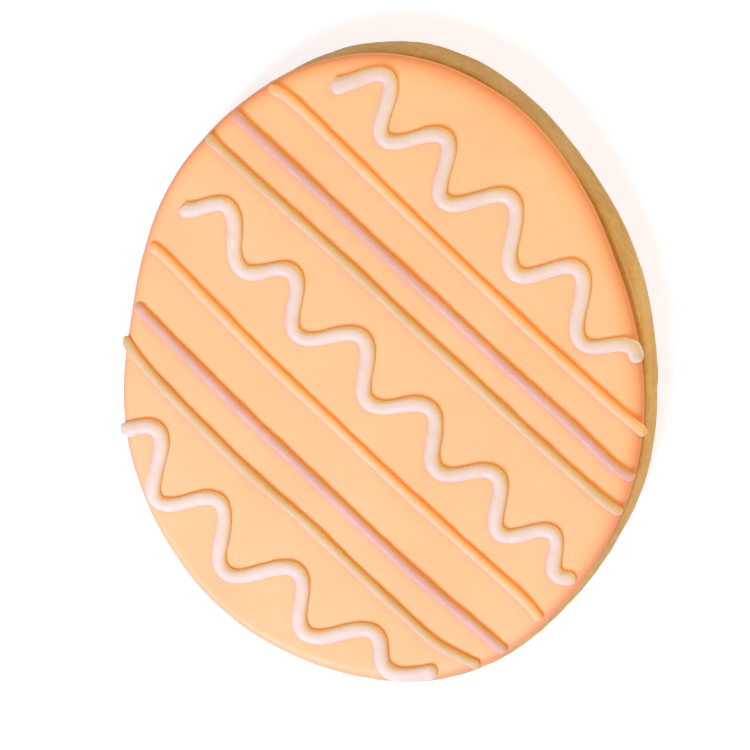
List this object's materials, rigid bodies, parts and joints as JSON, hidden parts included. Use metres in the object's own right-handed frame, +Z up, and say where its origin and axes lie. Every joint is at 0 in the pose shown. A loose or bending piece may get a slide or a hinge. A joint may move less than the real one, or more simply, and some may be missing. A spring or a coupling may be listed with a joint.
{
  "type": "iced butter cookie",
  "caption": "Egg-shaped butter cookie with smooth peach icing, straight piped lines in cream, lilac and mint, and white zigzag waves between them, lying iced face up.",
  "frame": {"origin": "centre of the cookie's outline, on the flat baked underside", "axes": "+Z up through the iced face; +Y along the egg's long axis, towards its narrow end; +X across the egg"},
  "size_m": [0.0757, 0.0909, 0.0085],
  "materials": {
    "biscuit": "baked butter dough, matt and finely crumbed, golden at the side and a little browner at the edges",
    "base_icing": "dried peach sugar icing, smooth and satin",
    "cream_piping": "dried cream sugar icing, satin",
    "lilac_piping": "dried lilac-pink sugar icing, satin",
    "mint_piping": "dried pale mint sugar icing, satin",
    "white_piping": "dried white sugar icing, satin"
  },
  "bodies": {
    "root": {"biscuit": "biscuit", "base_icing": "base_icing", "cream_line_upper": "cream_piping", "lilac_line_upper": "lilac_piping", "mint_line_upper": "mint_piping", "cream_line_lower": "cream_piping", "lilac_line_lower": "lilac_piping", "mint_line_lower": "mint_piping", "white_wave_upper": "white_piping", "white_wave_middle": "white_piping", "white_wave_lower": "white_piping"}
  },
  "joints": []
}
